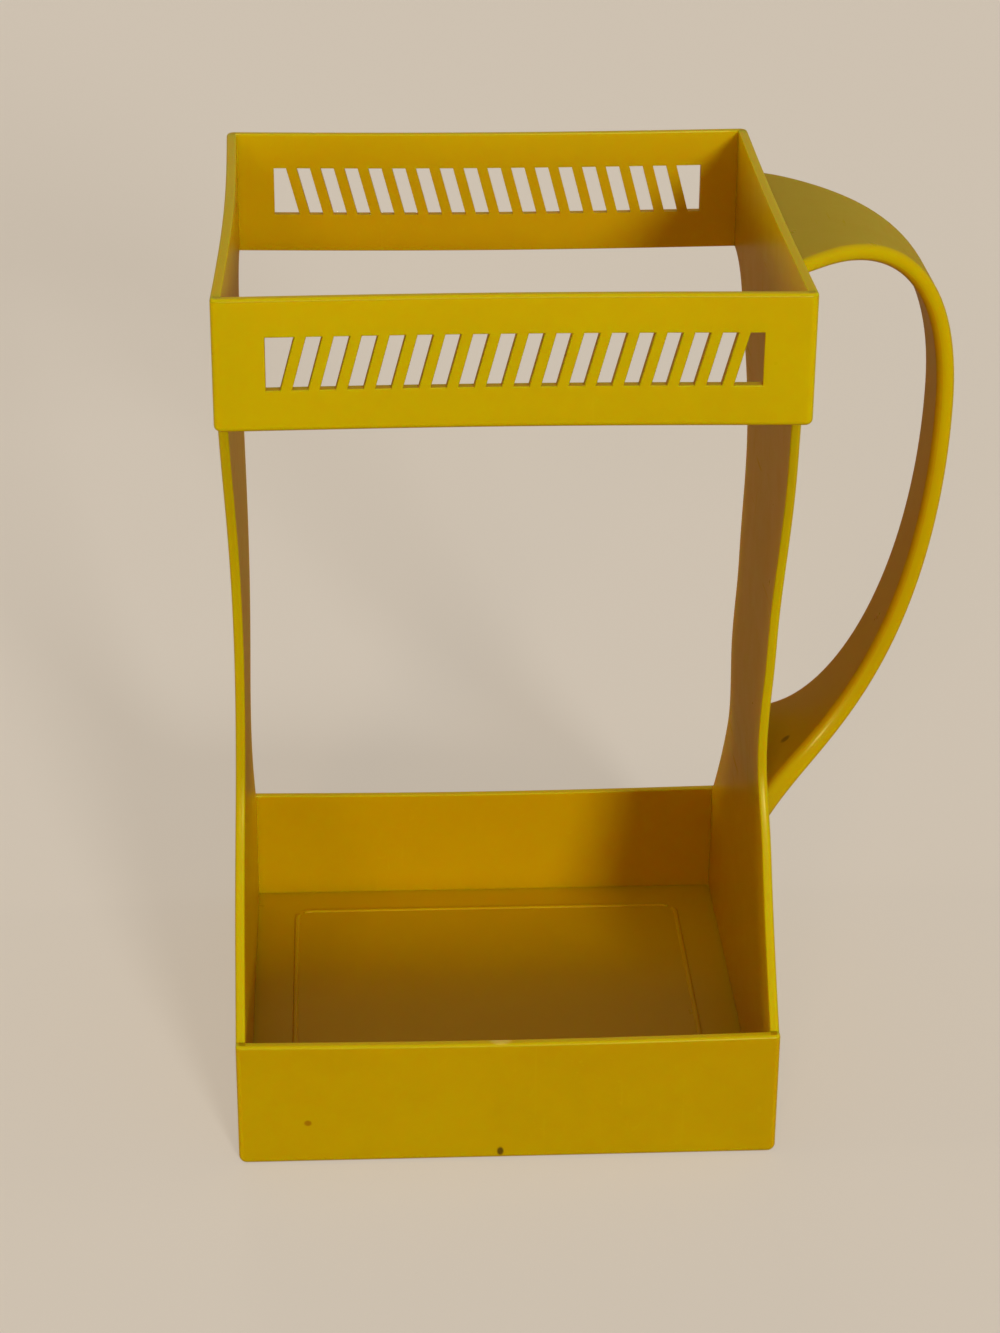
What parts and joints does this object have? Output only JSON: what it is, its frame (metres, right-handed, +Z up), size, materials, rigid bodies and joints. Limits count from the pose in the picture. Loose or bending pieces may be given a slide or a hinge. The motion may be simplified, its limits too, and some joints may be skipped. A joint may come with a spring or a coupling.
{
  "type": "carton carrier",
  "caption": "Square open-sided plastic carrier with a shallow tray, a pierced band round its top, waisted side walls and a strap handle, to lift and pour a drink carton.",
  "frame": {"origin": "centre of the underside, on the carton's upright axis", "axes": "+Z up, -Y towards the front, +X towards the handle"},
  "size_m": [0.1326, 0.1, 0.1682],
  "materials": {
    "yellow_plastic": "saturated yellow moulded polyethylene with a soft gloss"
  },
  "bodies": {
    "root": {"front_band": "yellow_plastic", "rear_band": "yellow_plastic", "left_wall": "yellow_plastic", "right_wall": "yellow_plastic", "front_tray_wall": "yellow_plastic", "rear_tray_wall": "yellow_plastic", "tray_floor": "yellow_plastic", "handle_strap": "yellow_plastic"}
  },
  "joints": []
}
